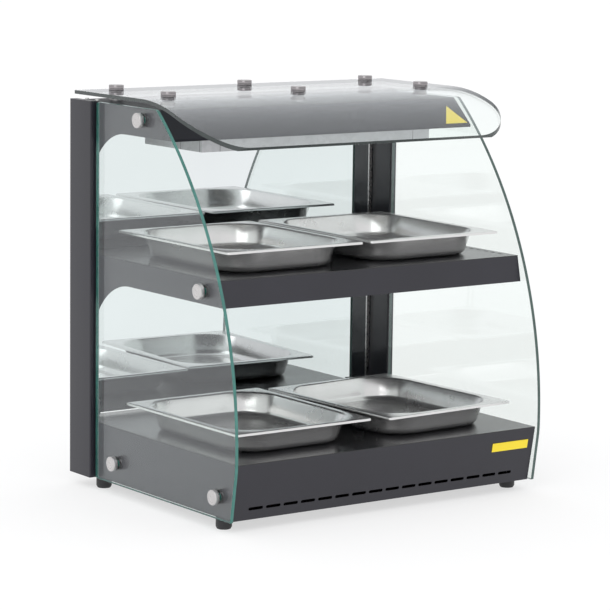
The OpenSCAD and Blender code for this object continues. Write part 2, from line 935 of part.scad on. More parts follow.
module door_bushes() {
    color([0.9, 0.9, 0.86])
    translate([door_pivot[0], door_pivot[1], 0]) {
        ring_at(bush_flange_d, deck_z, deck_z + bush_flange_t);
        ring_at(bush_d, deck_z - 8, deck_z + eps);
        ring_at(bush_flange_d, canopy_bottom_z - bush_flange_t, canopy_bottom_z);
        ring_at(bush_d, canopy_bottom_z - eps, canopy_bottom_z + 8);
    }
}

module ring_at(d, z0, z1) {
    ring(d, shaft_d + 2 * running, z0, z1);
}

module door_catch() {
    color(plastic_black)
    translate([door_half_w - 16, door_y - 8.5, deck_z + 7]) cube([40, 13, 14], center = true);
}

module door_mirror() {
    color([0.8, 0.86, 0.88])
    box([-door_half_w, door_y, door_bottom_z], [door_half_w, door_y + door_t, door_top_z]);
}

// Clamp blocks that grip the pane at its two left corners, with the pivot pins
module door_shoes() {
    gap = 0.3;
    lower_z = deck_z + bush_flange_t + gap;
    upper_z = canopy_bottom_z - bush_flange_t - gap;
    color(steel_bright)
    difference() {
        union() {
            shoe_block(lower_z);
            shoe_block(upper_z - shoe_h);
            bar_z([door_pivot[0], door_pivot[1], deck_z - 7], lower_z - deck_z + 7 + eps, shaft_d);
            bar_z([door_pivot[0], door_pivot[1], upper_z - eps], canopy_bottom_z + 7 - upper_z, shaft_d);
        }
        box([-door_half_w - 5, door_y, door_bottom_z], [door_half_w, door_y + door_t, door_top_z]);
    }
}

module shoe_block(z) {
    translate([-door_half_w, door_pivot[1] - shoe_w / 2, z]) cube([shoe_l, shoe_w, shoe_h]);
}

module door_handle() {
    grip_d = 12;
    back = door_y + door_t;
    grip_y = handle_y - grip_d / 2;
    color(steel_bright) {
        bar_z([handle_x, grip_y, handle_z - handle_l / 2], handle_l, grip_d);
        for (s = [-1, 1]) {
            bar_y([handle_x, back, handle_z + s * handle_l / 3], grip_y - back, 8);
            bar_y([handle_x, back, handle_z + s * handle_l / 3], 2, 18);
        }
    }
}

// Channel with a thick nose over the closing edge of the pane, which the catch holds
module door_edge_channel() {
    wall = 1.5;
    nose = 5;
    color(steel_bright)
    difference() {
        box([door_half_w - wall, door_y - wall, door_bottom_z],
            [door_half_w + nose, door_y + door_t + wall, door_top_z]);
        box([door_half_w - wall - 1, door_y, door_bottom_z - 1],
            [door_half_w, door_y + door_t, door_top_z + 1]);
    }
}

// ---- Controls that move ----

module thermostat_knob() {
    skirt_y = rear_y + 3;
    color(plastic_black) {
        bar_y([knob_x, rear_y - 24, controls_z], skirt_y - rear_y + 26, shaft_d - 2);
        bar_y([knob_x, skirt_y, controls_z], 3, knob_d);
        bar_y([knob_x, skirt_y + 2, controls_z], 13, knob_d - 10);
        translate([knob_x, skirt_y + 14.5, controls_z + (knob_d - 14) / 4])
            cube([3, 2, (knob_d - 14) / 2], center = true);
    }
}

// Rocker with a dished face, tilted to its off position on two trunnions
module rocker(x) {
    half = rocker_l / 2 - 0.5;
    translate([x, rocker_pivot_y, controls_z]) rotate([rocker_tilt, 0, 0]) {
        translate([-rocker_w / 2, 0, 0]) rotate([90, 0, 90]) linear_extrude(rocker_w)
            polygon([[rocker_face_y - 0.6, 0], [rocker_face_y, half], [-1, half - 2], [-4, 3], [-4, -3],
                     [-1, -half + 2], [rocker_face_y, -half]]);
        bar_x([-rocker_w / 2 - 1.2, 0, 0], rocker_w + 2.4, rocker_pin_d);
    }
}

module power_rocker() {
    color([0.75, 0.12, 0.1]) rocker(power_switch_x);
}

module light_rocker() {
    color(plastic_black) rocker(light_switch_x);
}

// ---- Pans ----

// Plate with rounded corners, one of the two ends of a tapering bowl
module bowl_end(inset, r, z) {
    translate([inset, inset, z])
        linear_extrude(0.1) rounded_rect(pan_w - 2 * inset, pan_l - 2 * inset, r);
}

module rounded_rect(w, l, r) {
    translate([r, 0]) square([w - 2 * r, l]);
    translate([0, r]) square([w, l - 2 * r]);
    for (x = [r, w - r])
        for (y = [r, l - r])
            translate([x, y]) circle(r = r, $fn = 32);
}

module bowl(grow, z0, z1) {
    hull() {
        bowl_end(pan_rim_w + pan_taper - grow, pan_bowl_r + grow - 6, z0);
        bowl_end(pan_rim_w - grow, pan_bowl_r + grow, z1);
    }
}

module pan(place, deck) {
    rim_t = 1;
    lip_h = 4;
    lip_t = 1;
    color(steel_bright)
    translate([place[0], place[1], deck + pan_lift]) rotate([0, 0, place[2]])
        difference() {
            union() {
                bowl(0, 0, pan_h - rim_t);
                translate([0, 0, pan_h - lip_h]) linear_extrude(lip_h) rounded_rect(pan_w, pan_l, 4);
            }
            difference() {
                translate([0, 0, pan_h - lip_h - 1]) linear_extrude(lip_h + 1 - rim_t)
                    translate([lip_t, lip_t]) rounded_rect(pan_w - 2 * lip_t, pan_l - 2 * lip_t, 3);
                bowl(0, 0, pan_h);
            }
            bowl(-pan_wall, pan_wall, pan_h);
        }
}

module upper_left_pan() {
    pan(upper_left_pan, shelf_z);
}

module upper_right_pan() {
    pan(upper_right_pan, shelf_z);
}

module lower_left_pan() {
    pan(lower_left_pan, deck_z);
}

module lower_right_pan() {
    pan(lower_right_pan, deck_z);
}

base_shell();
base_deck();
base_bottom_plate();
base_rear_panel();
deck_heater();
element_clips();
heat_shield();
shelf_shell();
shelf_top();
shelf_bottom_cover();
shelf_heater();
left_post();
right_post();
frame_bolts();
canopy_top();
canopy_left_plate();
canopy_right_plate();
canopy_floor();
canopy_rear_panel();
panel_screws();
lamp_housing();
lamp_reflector();
heat_lamps();
lamp_holders();
lamp_guard();
top_glass();
top_glass_caps();
top_glass_spacers();
top_glass_gaskets();
top_glass_studs();
left_glass();
right_glass();
side_glass_caps();
side_glass_spacers();
side_glass_gaskets();
side_glass_studs();
feet();
foot_screws();
front_plate();
plain_triangle();
thermostat_body();
thermostat_bulb();
switch_housings();
indicator_lamp();
power_inlet();
terminal_block();
wiring();
door_bushes();
door_catch();
door_mirror();
door_shoes();
door_handle();
door_edge_channel();
thermostat_knob();
power_rocker();
light_rocker();
upper_left_pan();
upper_right_pan();
lower_left_pan();
lower_right_pan();
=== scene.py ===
"""Looks of the heated display case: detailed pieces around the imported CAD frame.

Lengths are in metres in the frame of the CAD model: X to the right, Y to the rear, Z up.
"""
import json
import math

import bmesh
import bpy
from mathutils import Matrix, Vector

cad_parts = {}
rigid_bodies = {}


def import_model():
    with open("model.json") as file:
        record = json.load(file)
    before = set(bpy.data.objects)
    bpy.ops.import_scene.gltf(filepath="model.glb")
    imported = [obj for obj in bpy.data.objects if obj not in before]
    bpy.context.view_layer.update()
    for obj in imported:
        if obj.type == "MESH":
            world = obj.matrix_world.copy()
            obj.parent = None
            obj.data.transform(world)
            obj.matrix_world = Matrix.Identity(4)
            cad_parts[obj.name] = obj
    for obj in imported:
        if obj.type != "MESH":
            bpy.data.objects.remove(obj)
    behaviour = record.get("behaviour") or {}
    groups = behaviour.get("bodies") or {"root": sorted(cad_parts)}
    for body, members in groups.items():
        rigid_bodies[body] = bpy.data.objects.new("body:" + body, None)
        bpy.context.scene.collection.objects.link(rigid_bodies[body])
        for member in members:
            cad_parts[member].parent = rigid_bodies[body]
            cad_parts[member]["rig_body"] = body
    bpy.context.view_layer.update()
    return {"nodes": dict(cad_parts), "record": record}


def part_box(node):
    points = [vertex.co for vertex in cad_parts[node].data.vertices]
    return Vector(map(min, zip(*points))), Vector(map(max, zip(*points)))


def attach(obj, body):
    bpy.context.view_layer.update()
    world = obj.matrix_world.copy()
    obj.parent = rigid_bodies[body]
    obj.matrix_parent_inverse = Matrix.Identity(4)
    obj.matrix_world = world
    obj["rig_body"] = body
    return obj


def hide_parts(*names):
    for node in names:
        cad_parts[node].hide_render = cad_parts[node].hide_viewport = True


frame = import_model()

MM = 0.001
NODES = frame["nodes"]
SLOT_OF = {part["node"]: part["material_slot"] for part in frame["record"]["subparts"]}


# ---- Node helpers ----

def new_material(name):
    """A material with one Principled shader, as (material, tree, shader)."""
    material = bpy.data.materials.new(name)
    material.use_nodes = True
    tree = material.node_tree
    return material, tree, tree.nodes["Principled BSDF"]


def set_values(shader, **values):
    """Sets sockets by their names, with underscores for spaces."""
    for name, value in values.items():
        shader.inputs[name.replace("_", " ")].default_value = value


def noise(tree, scale, detail=2.0, stretch=(1, 1, 1), source="Object"):
    """The value of a noise texture in object or UV space, stretched by axis."""
    coordinates = tree.nodes.new("ShaderNodeTexCoord")
    mapping = tree.nodes.new("ShaderNodeMapping")
    mapping.inputs["Scale"].default_value = stretch
    texture = tree.nodes.new("ShaderNodeTexNoise")
    texture.inputs["Scale"].default_value = scale
    texture.inputs["Detail"].default_value = detail
    tree.links.new(coordinates.outputs[source], mapping.inputs["Vector"])
    tree.links.new(mapping.outputs["Vector"], texture.inputs["Vector"])
    return texture.outputs["Fac"]


def spread(tree, value, low, high, source_low=0.3, source_high=0.7):
    """Maps the middle of a noise value to the range low to high."""
    node = tree.nodes.new("ShaderNodeMapRange")
    node.inputs["From Min"].default_value = source_low
    node.inputs["From Max"].default_value = source_high
    node.inputs["To Min"].default_value = low
    node.inputs["To Max"].default_value = high
    tree.links.new(value, node.inputs["Value"])
    return node.outputs["Result"]


def blend_colour(tree, value, first, second):
    """A colour between two colours by a value from 0 to 1."""
    node = tree.nodes.new("ShaderNodeMix")
    node.data_type = "RGBA"
    node.inputs[6].default_value = (*first, 1)
    node.inputs[7].default_value = (*second, 1)
    tree.links.new(value, node.inputs[0])
    return node.outputs[2]


def add_bump(tree, shader, height, depth, strength=1.0):
    """Adds a bump of the given depth on top of what already reaches the shader's normal."""
    node = tree.nodes.new("ShaderNodeBump")
    node.inputs["Strength"].default_value = strength
    node.inputs["Distance"].default_value = depth
    tree.links.new(height, node.inputs["Height"])
    socket = shader.inputs["Normal"]
    if socket.is_linked:
        tree.links.new(socket.links[0].from_socket, node.inputs["Normal"])
    tree.links.new(node.outputs["Normal"], socket)


def vary(tree, shader, colour, tone, roughness, change, scale):
    """Blotches of a second tone and of roughness, at one scale."""
    blotches = noise(tree, scale, 4)
    second = [min(1, c * tone) for c in colour]
    tree.links.new(blend_colour(tree, spread(tree, blotches, 0, 1), colour, second),
                   shader.inputs["Base Color"])
    tree.links.new(spread(tree, blotches, roughness - change, roughness + change),
                   shader.inputs["Roughness"])


# ---- Materials ----

def powder_coat(name, colour, roughness, grain_depth, shine=0.5):
    """Baked powder paint: a fine pebbled skin with a slow change of tone."""
    material, tree, shader = new_material(name)
    set_values(shader, IOR=1.5, Specular_IOR_Level=shine)
    vary(tree, shader, colour, 1.25, roughness, 0.04, 9)
    add_bump(tree, shader, noise(tree, 700, 2), grain_depth, 0.3)
    return material


def grained_steel(name, colour, roughness, stretch, depth=6e-6):
    """Sheet or drawn steel with a directional grain and faint handling marks."""
    material, tree, shader = new_material(name)
    set_values(shader, Metallic=1.0)
    grain = noise(tree, 140, 3, stretch)
    smudges = noise(tree, 22, 3)
    tone = [c * 0.86 for c in colour]
    tree.links.new(blend_colour(tree, spread(tree, grain, 0, 1), colour, tone),
                   shader.inputs["Base Color"])
    rough = tree.nodes.new("ShaderNodeMath")
    rough.operation = "ADD"
    tree.links.new(spread(tree, grain, roughness * 0.8, roughness * 1.2), rough.inputs[0])
    tree.links.new(spread(tree, smudges, 0, 0.06), rough.inputs[1])
    tree.links.new(rough.outputs[0], shader.inputs["Roughness"])
    add_bump(tree, shader, grain, depth, 0.5)
    return material


def pressed_steel(name, colour, roughness):
    """Deep drawn stainless sheet: an even satin with soft draw marks."""
    material, tree, shader = new_material(name)
    set_values(shader, Metallic=0.86)
    vary(tree, shader, colour, 0.93, roughness, 0.035, 14)
    add_bump(tree, shader, noise(tree, 60, 2, (1, 1, 0.3)), 1e-5, 0.12)
    return material


def turned_steel(name, colour, roughness, ring_and_reflection_tone=0.82):
    """Lathe-turned steel, with rings that follow the profile in the UV map and a slow change of tone
    around the axis, which at a deep tone paints dark reflection bands.
    """
    material, tree, shader = new_material(name)
    set_values(shader, Metallic=1.0)
    # One noise gives the fine lathe rings along the profile and, slowly around the axis, bands of
    # painted reflection; the darker colour below serves both.
    rings = noise(tree, 1, 2, (2, 1100, 1), "UV")
    groove = [c * ring_and_reflection_tone for c in colour]
    tree.links.new(blend_colour(tree, spread(tree, rings, 0, 1), colour, groove),
                   shader.inputs["Base Color"])
    tree.links.new(spread(tree, rings, roughness - 0.06, roughness + 0.08), shader.inputs["Roughness"])
    add_bump(tree, shader, rings, 8e-6, 0.6)
    return material


def galvanised(name, colour):
    """Zinc coated sheet with soft crystal flakes."""
    material, tree, shader = new_material(name)
    set_values(shader, Metallic=0.85)
    coordinates = tree.nodes.new("ShaderNodeTexCoord")
    flakes = tree.nodes.new("ShaderNodeTexVoronoi")
    flakes.inputs["Scale"].default_value = 130
    tree.links.new(coordinates.outputs["Object"], flakes.inputs["Vector"])
    grey = tree.nodes.new("ShaderNodeRGBToBW")
    tree.links.new(flakes.outputs["Color"], grey.inputs["Color"])
    tree.links.new(blend_colour(tree, grey.outputs["Val"], colour, [c * 0.88 for c in colour]),
                   shader.inputs["Base Color"])
    tree.links.new(spread(tree, grey.outputs["Val"], 0.38, 0.5, 0, 1), shader.inputs["Roughness"])
    add_bump(tree, shader, noise(tree, 240, 3), 2e-5, 0.3)
    return material


def moulded(name, colour, roughness, grain_depth=1.5e-5, coat=0.0):
    """Moulded plastic or rubber with a fine texture and a slow change of tone."""
    material, tree, shader = new_material(name)
    set_values(shader, Coat_Weight=coat, Coat_Roughness=0.08)
    vary(tree, shader, colour, 1.2, roughness, 0.05, 35)
    add_bump(tree, shader, noise(tree, 1500, 2), grain_depth, 0.5)
    return material


def lets_light_past(tree, shader, tint):
    """Mixes in a clear stand-in for lamp and diffuse rays, so that glass doesn't darken a room."""
    path = tree.nodes.new("ShaderNodeLightPath")
    either = tree.nodes.new("ShaderNodeMath")
    either.operation = "MAXIMUM"
    tree.links.new(path.outputs["Is Shadow Ray"], either.inputs[0])
    tree.links.new(path.outputs["Is Diffuse Ray"], either.inputs[1])
    clear = tree.nodes.new("ShaderNodeBsdfTransparent")
    clear.inputs["Color"].default_value = (*tint, 1)
    mix = tree.nodes.new("ShaderNodeMixShader")
    tree.links.new(either.outputs[0], mix.inputs[0])
    tree.links.new(shader.outputs[0], mix.inputs[1])
    tree.links.new(clear.outputs[0], mix.inputs[2])
    tree.links.new(mix.outputs[0], tree.nodes["Material Output"].inputs["Surface"])


def quartz_glass(name, tint):
    """Thin tubes of quartz: smooth, with the faintest wave."""
    material, tree, shader = new_material(name)
    set_values(shader, Base_Color=(*tint, 1), Roughness=0.0, IOR=1.5, Transmission_Weight=1.0)
    add_bump(tree, shader, noise(tree, 5, 1), 2e-5, 0.15)
    lets_light_past(tree, shader, tint)
    return material


def pane_glass(name, tint):
    """Float glass that shows what is behind it straight, and mirrors more at a grazing angle.

    Behind a face the Fresnel node expects light to leave the glass, so its index is turned over
    there to give the same mirror share on both sides of a pane.
    """
    material, tree, shader = new_material(name)
    set_values(shader, Metallic=1.0, Roughness=0.0, Base_Color=(0.95, 0.96, 1.0, 1))
    side = tree.nodes.new("ShaderNodeNewGeometry")
    index = spread(tree, side.outputs["Backfacing"], 1.5, 1 / 1.5, 0, 1)
    share = tree.nodes.new("ShaderNodeFresnel")
    tree.links.new(index, share.inputs["IOR"])
    clear = tree.nodes.new("ShaderNodeBsdfTransparent")
    faint = noise(tree, 3, 2)
    tree.links.new(blend_colour(tree, spread(tree, faint, 0, 1), tint, [c * 0.995 for c in tint]),
                   clear.inputs["Color"])
    mix = tree.nodes.new("ShaderNodeMixShader")
    tree.links.new(share.outputs["Fac"], mix.inputs[0])
    tree.links.new(clear.outputs[0], mix.inputs[1])
    tree.links.new(shader.outputs[0], mix.inputs[2])
    tree.links.new(mix.outputs[0], tree.nodes["Material Output"].inputs["Surface"])
    return material


def glass_edge(name, colour, roughness):
    """Polished edge of a pane, where the green of the glass gathers."""
    material, tree, shader = new_material(name)
    set_values(shader, IOR=1.5, Specular_IOR_Level=0.6, Transmission_Weight=0.12)
    vary(tree, shader, colour, 0.72, roughness, 0.05, 60)
    add_bump(tree, shader, noise(tree, 420, 2), 1.2e-5, 0.4)
    return material


def silvering(name, colour):
    """Silver seen through its glass: a clean mirror with a trace of haze."""
    material, tree, shader = new_material(name)
    set_values(shader, Metallic=1.0, Coat_Weight=0.4, Coat_Roughness=0.0)
    haze = noise(tree, 6, 4)
    tree.links.new(blend_colour(tree, spread(tree, haze, 0, 1), colour, [c * 0.97 for c in colour]),
                   shader.inputs["Base Color"])
    tree.links.new(spread(tree, haze, 0.0, 0.018), shader.inputs["Roughness"])
    return material


def make_materials():
    """Every material by the record's slot name, with a few extra finishes."""
    made = {
        "black_steel": powder_coat("black_steel", (0.015, 0.0145, 0.021), 0.36, 0.5e-5),
        "deck_steel": powder_coat("deck_steel", (0.016, 0.016, 0.018), 0.2, 0.4e-5),
        "galvanised_steel": galvanised("galvanised_steel", (0.5, 0.505, 0.52)),
        "heater_tube": grained_steel("heater_tube", (0.16, 0.12, 0.09), 0.5, (1, 14, 14)),
        "bright_steel": grained_steel("bright_steel", (0.66, 0.65, 0.64), 0.24, (10, 10, 1)),
        "standoff_steel": turned_steel("standoff_steel", (0.64, 0.62, 0.62), 0.26),
        "reflector_metal": grained_steel("reflector_metal", (0.85, 0.85, 0.85), 0.12, (1, 12, 12)),
        "lamp_glass": quartz_glass("lamp_glass", (0.97, 0.93, 0.86)),
        "ceramic": moulded("ceramic", (0.78, 0.76, 0.7), 0.3, 1e-5, 0.4),
        "clear_glass": pane_glass("clear_glass", (0.965, 0.985, 0.974)),
        "gasket_rubber": moulded("gasket_rubber", (0.012, 0.012, 0.012), 0.6),
        "foot_rubber": moulded("foot_rubber", (0.02, 0.02, 0.022), 0.55, 3e-5),
        "yellow_plate": powder_coat("yellow_plate", (0.84, 0.63, 0.02), 0.38, 0.6e-5),
        "thermostat_plastic": moulded("thermostat_plastic", (0.75, 0.74, 0.7), 0.45),
        "copper_tube": grained_steel("copper_tube", (0.72, 0.36, 0.2), 0.3, (1, 14, 14)),
        "black_plastic": moulded("black_plastic", (0.022, 0.022, 0.024), 0.4, 2.2e-5),
        "red_plastic": moulded("red_plastic", (0.5, 0.02, 0.012), 0.28, 0.8e-5, 0.3),
        "amber_lens": moulded("amber_lens", (0.85, 0.2, 0.02), 0.15, 0.5e-5, 0.6),
        "wire_cover": moulded("wire_cover", (0.5, 0.05, 0.03), 0.4),
        "mirror_pane": silvering("mirror_pane", (0.8, 0.835, 0.845)),
        "pan_steel": pressed_steel("pan_steel", (0.76, 0.755, 0.75), 0.25),
    }
    # Top caps: a darker copy of the turned steel with a deep tone, so its slow bands paint the dark
    # reflections of the studio around each cap; the fine rings are real lathe marks.
    made["cap_steel_painted_reflection"] = turned_steel("cap_steel_painted_reflection", (0.5, 0.47, 0.48), 0.2, 0.35)
    # A darker, duller copy of the black paint for the canopy top: painted shade, for its slope that
    # lies dim under the bend of the top glass.
    made["canopy_steel_painted_shade"] = powder_coat("canopy_steel_painted_shade", (0.011, 0.011, 0.015), 0.5, 0.5e-5, 0.15)
    # A lighter, glossier copy of the black paint, for the right post only: painted light, for its
    # faces that the studio lights from the front left.
    made["post_steel_painted_light"] = powder_coat("post_steel_painted_light", (0.036, 0.038, 0.045), 0.25, 0.4e-5)
    made["glass_edge"] = glass_edge("glass_edge", (0.06, 0.235, 0.2), 0.16)
    # A darker copy of the edge teal for the right pane: painted shade, as its edge gets less light
    # than the left one.
    made["right_edge_painted_shade"] = glass_edge("right_edge_painted_shade", (0.045, 0.085, 0.075), 0.2)
    made["smoky_edge"] = glass_edge("smoky_edge", (0.045, 0.057, 0.056), 0.2)
    made["mirror_back"] = moulded("mirror_back", (0.2, 0.22, 0.22), 0.5, 1e-5)
    made["seam_shadow"] = moulded("seam_shadow", (0.03, 0.03, 0.033), 0.7, 0.5e-5)
    made["print_white"] = moulded("print_white", (0.75, 0.75, 0.75), 0.5, 0.5e-5)
    return made


MATERIALS = make_materials()


# ---- Mesh helpers ----

def linked(name, mesh, materials, body, replaced=()):
    """Puts a mesh in the scene as a piece that rides on a body and takes a slot's finish."""
    piece = bpy.data.objects.new(name, mesh)
    bpy.context.scene.collection.objects.link(piece)
    mesh.materials.clear()
    for material in materials:
        mesh.materials.append(MATERIALS[material])
    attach(piece, body)
    if replaced:
        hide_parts(*replaced)


def mesh_from(bm, name, sharp_angle=40):
    """A mesh with smooth faces, and edges kept sharp above an angle in degrees."""
    limit = math.radians(sharp_angle)
    bmesh.ops.recalc_face_normals(bm, faces=bm.faces)
    for face in bm.faces:
        face.smooth = True
    for edge in bm.edges:
        edge.smooth = edge.is_manifold and edge.calc_face_angle(0) < limit
    mesh = bpy.data.meshes.new(name)
    bm.to_mesh(mesh)
    bm.free()
    return mesh


def clean_copy(node):
    """A CAD node's mesh as a bmesh, with shared corners joined and flat faces made whole."""
    bm = bmesh.new()
    bm.from_mesh(NODES[node].data)
    normals = bm.loops.layers.float_vector.get("custom_normal")
    if normals is not None:
        bm.loops.layers.float_vector.remove(normals)
    bmesh.ops.remove_doubles(bm, verts=bm.verts, dist=2e-6)
    bmesh.ops.dissolve_limit(bm, angle_limit=math.radians(0.6), verts=bm.verts, edges=bm.edges)
    return bm


def rounded(name, bm, width, segments, angle=30):
    """A mesh with its sharp edges rounded by a bevel."""
    mesh = mesh_from(bm, name, 180)
    for layer in ("custom_normal", "sharp_edge"):
        if layer in mesh.attributes:
            mesh.attributes.remove(mesh.attributes[layer])
    holder = bpy.data.objects.new(name + "_draft", mesh)
    bpy.context.scene.collection.objects.link(holder)
    bevel = holder.modifiers.new("Rounded edges", "BEVEL")
    bevel.width = width
    bevel.segments = segments
    bevel.limit_method = "ANGLE"
    bevel.angle_limit = math.radians(angle)
    bevel.harden_normals = True
    graph = bpy.context.evaluated_depsgraph_get()
    finished = bpy.data.meshes.new_from_object(holder.evaluated_get(graph))
    finished.name = name
    bpy.data.objects.remove(holder)
    return finished


def body_of(node):
    return NODES[node]["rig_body"]


def refined(node, width=0.6 * MM, segments=2, materials=None, pick=None):
    """A rounded copy of a CAD node that stands for it. pick(normal) gives a face's material."""
    mesh = rounded(node + "_finished", clean_copy(node), width, segments)
    slot = SLOT_OF[node]
    linked(node + "_finished", mesh, materials or [slot], body_of(node), [node])
    for face in mesh.polygons:
        face.material_index = pick(face.normal) if pick else 0


def turned(name, node, places, axis, profile, materials=None, steps=64):
    """Solids of revolution at several places, from a profile of (radius, height) pairs."""
    bm = bmesh.new()
    uv = bm.loops.layers.uv.new("profile")
    frame_matrix = Vector(axis).to_track_quat("Z", "Y").to_matrix()
    lengths = [0.0]
    for (r0, h0), (r1, h1) in zip(profile, profile[1:]):
        lengths.append(lengths[-1] + math.hypot(r1 - r0, h1 - h0))
    for place in places:
        rings = []
        for r, h in profile:
            count = steps if r > 0 else 1
            rings.append([bm.verts.new(Vector(place) + frame_matrix @ Vector(
                (r * math.cos(math.tau * i / steps), r * math.sin(math.tau * i / steps), h)))
                for i in range(count)])
        for k in range(len(rings) - 1):
            for i in range(steps):
                near, far = rings[k], rings[k + 1]
                corners = [(near[i % len(near)], i, k), (near[(i + 1) % len(near)], i + 1, k),
                           (far[(i + 1) % len(far)], i + 1, k + 1), (far[i % len(far)], i, k + 1)]
                unique = []
                for corner in corners:
                    if corner[0] not in [c[0] for c in unique]:
                        unique.append(corner)
                face = bm.faces.new([c[0] for c in unique])
                for loop, (_, turn, row) in zip(face.loops, unique):
                    loop[uv].uv = (turn / steps, lengths[row])
    slot = SLOT_OF[node]
    linked(name, mesh_from(bm, name, 35), materials or [slot], body_of(node), [node])


BOX_FACES = ((0, 1, 2, 3), (4, 5, 6, 7), (0, 1, 5, 4), (1, 2, 6, 5), (2, 3, 7, 6), (3, 0, 4, 7))


def add_box(bm, points):
    """A box from its eight corners: the ring of one end, then the ring of the other."""
    corners = [bm.verts.new(point) for point in points]
    for face in BOX_FACES:
        bm.faces.new([corners[i] for i in face])


def blocks(name, node, boxes, material):
    """Small boxes, each from a low to a high corner, that ride with a CAD node."""
    bm = bmesh.new()
    for low, high in boxes:
        ring = ((low[0], low[1]), (high[0], low[1]), (high[0], high[1]), (low[0], high[1]))
        add_box(bm, [(x, y, z) for z in (low[2], high[2]) for x, y in ring])
    linked(name, mesh_from(bm, name), [material], body_of(node))


def skin(bm, loops):
    """Joins rings of equally many points in their order, and closes the first and the last."""
    for near, far in zip(loops, loops[1:]):
        for i in range(len(near)):
            j = (i + 1) % len(near)
            bm.faces.new((near[i], near[j], far[j], far[i]))
    bm.faces.new(loops[0])
    bm.faces.new(loops[-1])


# ---- Camera and studio ----

CAMERA_TARGET = Vector((-0.0127, -0.0232, 0.3120))
CAMERA_DISTANCE = 4.719
CAMERA_AZIMUTH = math.radians(-35.76)
CAMERA_ELEVATION = math.radians(8.65)
CAMERA_ROLL = math.radians(0.78)
CAMERA_LENS_MM = 167.2


def make_camera():
    """A long lens that looks at the case from its front left, a little above it."""
    a, e = CAMERA_AZIMUTH, CAMERA_ELEVATION
    back = Vector((math.sin(a) * math.cos(e), -math.cos(a) * math.cos(e), math.sin(e)))
    level = Vector((math.cos(a), math.sin(a), 0))
    upright = back.cross(level)
    right = level * math.cos(CAMERA_ROLL) + upright * math.sin(CAMERA_ROLL)
    up = back.cross(right)
    data = bpy.data.cameras.new("camera")
    data.lens = CAMERA_LENS_MM
    data.clip_end = 100
    camera = bpy.data.objects.new("camera", data)
    axes = Matrix((right, up, back)).transposed()
    camera.matrix_world = Matrix.Translation(CAMERA_TARGET + back * CAMERA_DISTANCE) @ axes.to_4x4()
    bpy.context.scene.collection.objects.link(camera)
    bpy.context.scene.camera = camera


def area_light(name, place, aim, size, power):
    data = bpy.data.lights.new(name, "AREA")
    data.size = size
    data.energy = power
    light = bpy.data.objects.new(name, data)
    light.location = place
    light.rotation_euler = (Vector(aim) - Vector(place)).to_track_quat("-Z", "Y").to_euler()
    bpy.context.scene.collection.objects.link(light)


def make_floor():
    """A wide pale floor that runs up to the horizon, with a glow that keeps it near white."""
    bm = bmesh.new()
    bmesh.ops.create_grid(bm, x_segments=1, y_segments=1, size=60)
    floor = bpy.data.objects.new("floor", mesh_from(bm, "floor"))
    material, tree, shader = new_material("floor")
    set_values(shader, Roughness=0.9, Specular_IOR_Level=0.1, Emission_Color=(1, 1, 1, 1),
               Emission_Strength=0.6)
    material.cycles.emission_sampling = "NONE"
    tone = spread(tree, noise(tree, 0.6, 2), 0, 1)
    tree.links.new(blend_colour(tree, tone, (0.42, 0.42, 0.42), (0.4, 0.4, 0.4)),
                   shader.inputs["Base Color"])
    floor.data.materials.append(material)
    bpy.context.scene.collection.objects.link(floor)


def make_studio():
    """An even white room, with one wide soft lamp to the left and in front."""
    world = bpy.data.worlds.new("studio")
    world.use_nodes = True
    background = world.node_tree.nodes["Background"]
    background.inputs["Color"].default_value = (0.985, 0.99, 1.0, 1)
    background.inputs["Strength"].default_value = 1.0
    bpy.context.scene.world = world
    area_light("key", (-3.4, -2.6, 3.2), (0, 0, 0.3), 3.0, 40)
    bpy.context.scene.view_settings.view_transform = "Standard"
    make_floor()


# ---- Steel body ----

def make_steel():
    for node in ("base_shell", "shelf_shell", "left_post"):
        refined(node, 0.5 * MM, 3)
    # The right post takes the black paint lightened as painted light.
    refined("right_post", 0.5 * MM, 3, ["post_steel_painted_light"])
    # The canopy top takes the black paint darkened as painted shade.
    refined("canopy_top", 0.5 * MM, 3, ["canopy_steel_painted_shade"])
    for node in ("base_deck", "shelf_top", "base_bottom_plate", "base_rear_panel",
                 "shelf_bottom_cover", "canopy_left_plate", "canopy_right_plate",
                 "canopy_floor", "canopy_rear_panel", "lamp_housing"):
        refined(node, 0.35 * MM, 2)


LAMP_END_SEAMS_Y = (-31 * MM, 25 * MM)
LAMP_FRONT_SEAMS_X = (-196 * MM, 196 * MM)


def make_lamp_seams():
    """Thin dark joints in the two ends and in the front of the lamp housing."""
    low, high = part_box("lamp_housing")
    half, proud = 0.4 * MM, 0.08 * MM
    boxes = []
    for y in LAMP_END_SEAMS_Y:
        for face in (low.x, high.x):
            boxes.append(((face - proud, y - half, low.z), (face + proud, y + half, high.z)))
    for x in LAMP_FRONT_SEAMS_X:
        boxes.append(((x - half, low.y - proud, low.z), (x + half, low.y + proud, high.z)))
    blocks("lamp_housing_seams", "lamp_housing", boxes, "seam_shadow")


# ---- Glass ----

def is_edge_of(axis):
    """Picks the edge material where a face doesn't lie across an axis."""
    return lambda normal: 0 if abs(normal[axis]) > 0.9 else 1


def make_glass():
    refined("left_glass", 0.4 * MM, 2, ["clear_glass", "glass_edge"], is_edge_of(0))
    # The right pane's edges take the teal darkened as painted shade.
    refined("right_glass", 0.4 * MM, 2, ["clear_glass", "right_edge_painted_shade"], is_edge_of(0))
    refined("top_glass", 0.4 * MM, 2, ["clear_glass", "smoky_edge"],
            lambda n: 0 if abs(n.z) > 0.7 else 1)


# ---- Pans ----

PAN_WIDTH = 265 * MM
PAN_LENGTH = 325 * MM
PAN_CORNER_STEPS = 18
LOWER_RIGHT_PAN_TURN = math.radians(3)


